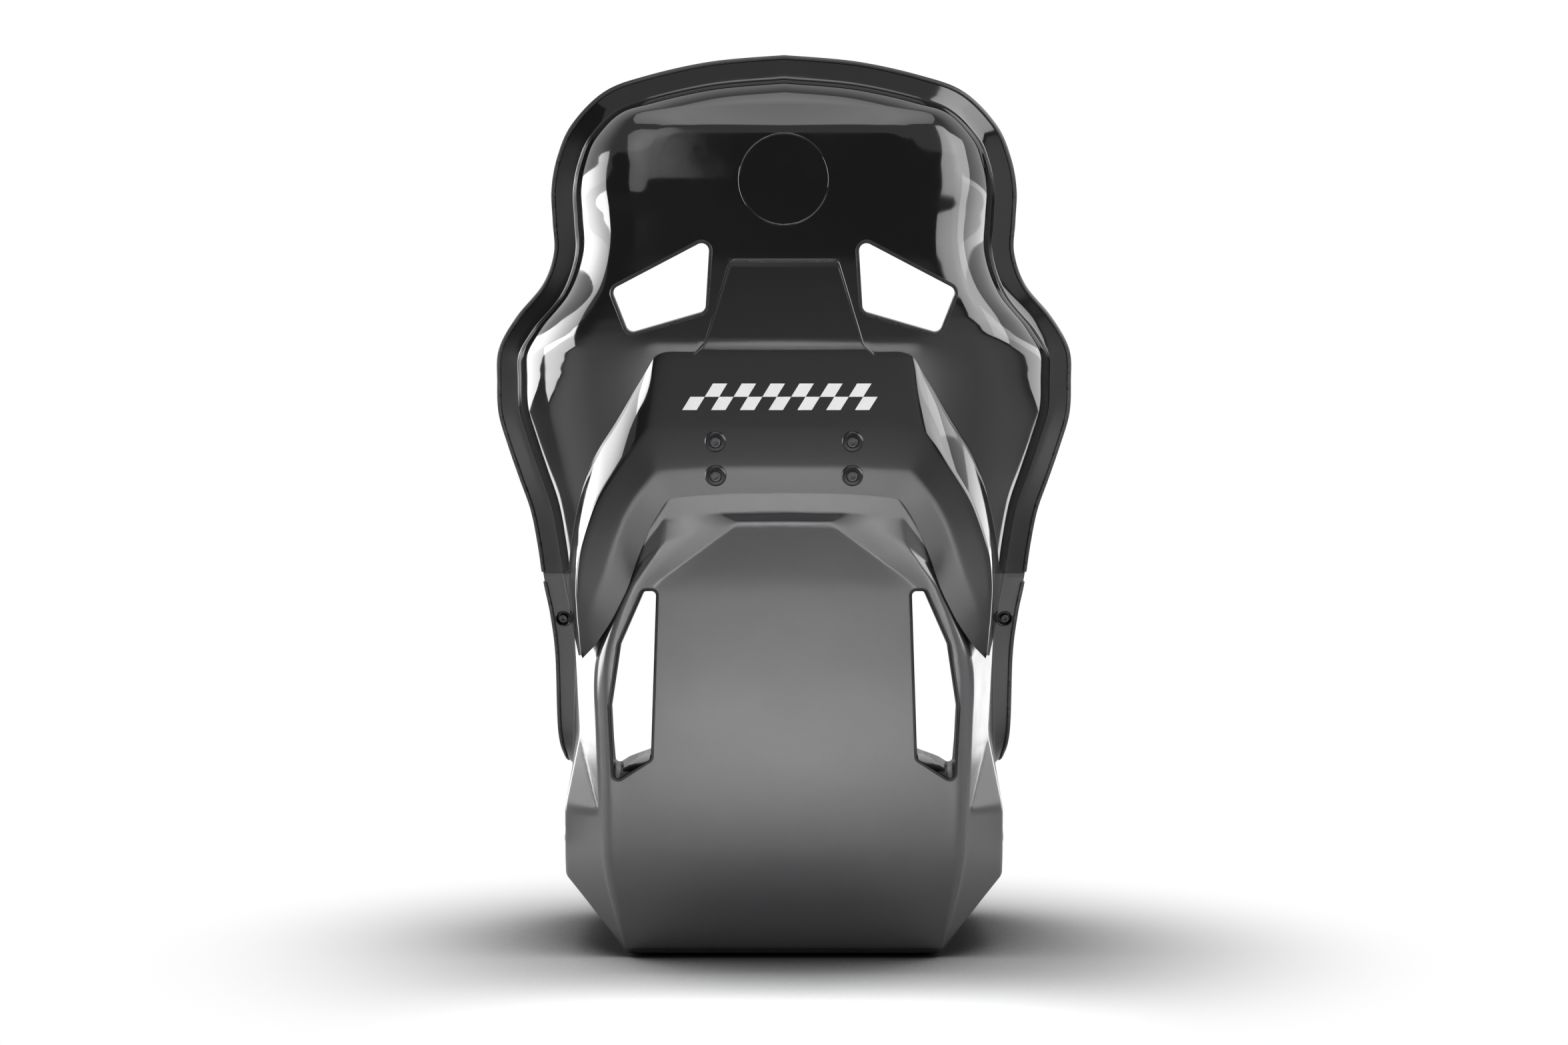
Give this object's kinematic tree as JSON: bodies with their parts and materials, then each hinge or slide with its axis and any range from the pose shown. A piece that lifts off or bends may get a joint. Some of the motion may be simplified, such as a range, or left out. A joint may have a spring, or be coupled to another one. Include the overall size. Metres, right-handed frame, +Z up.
{
  "type": "racing seat",
  "caption": "Fixed-back racing bucket seat with head wings, moulded two-piece shell, harness slots, side mounts and removable pads.",
  "frame": {"origin": "on the floor under the middle of the seat: centre of the bounding box at its lowest face", "axes": "+X is to the right when the seat is seen from its front, and nodes named right are on that side; -Y is forwards out of the seat and +Y is to the rear panel; +Z is up"},
  "size_m": [0.5854, 0.6051, 0.8986],
  "materials": {
    "back_shell_plastic": "high gloss moulded black plastic",
    "seat_shell_plastic": "satin gloss moulded charcoal plastic",
    "bezel_rubber": "satin black rubber",
    "tunnel_plastic": "gloss black plastic",
    "black_steel": "black oxide steel screws",
    "washer_plastic": "gloss black cup washers",
    "coated_plate": "powder coated steel",
    "zinc_steel": "zinc plated steel",
    "trim_rubber": "satin black edge trim",
    "hook_tape": "hook and loop tape",
    "pad_fabric": "black knitted upholstery fabric over foam"
  },
  "bodies": {
    "root": {"back_shell": "back_shell_plastic", "seat_shell": "seat_shell_plastic", "left_shoulder_bezel": "bezel_rubber", "right_shoulder_bezel": "bezel_rubber", "left_lap_tunnel": "tunnel_plastic", "right_lap_tunnel": "tunnel_plastic", "crotch_slot_bezel": "bezel_rubber", "rear_joint_bolts": "black_steel", "rear_cup_washers": "washer_plastic", "rear_backing_plate": "coated_plate", "rear_joint_nuts": "zinc_steel", "side_joint_bolts": "black_steel", "side_bolt_cups": "washer_plastic", "side_joint_straps": "coated_plate", "side_joint_nuts": "zinc_steel", "left_mount_plate": "coated_plate", "right_mount_plate": "coated_plate", "side_mount_inserts": "zinc_steel", "back_edge_trim": "trim_rubber", "seat_edge_trim": "trim_rubber", "head_pad": "pad_fabric", "left_head_bolster": "pad_fabric", "right_head_bolster": "pad_fabric", "upper_back_pad": "pad_fabric", "lumbar_pad": "pad_fabric", "left_shoulder_bolster": "pad_fabric", "right_shoulder_bolster": "pad_fabric", "left_hip_bolster": "pad_fabric", "right_hip_bolster": "pad_fabric", "seat_cushion": "pad_fabric", "left_thigh_bolster": "pad_fabric", "right_thigh_bolster": "pad_fabric", "back_pad_tapes": "hook_tape", "seat_pad_tapes": "hook_tape"}
  },
  "joints": []
}
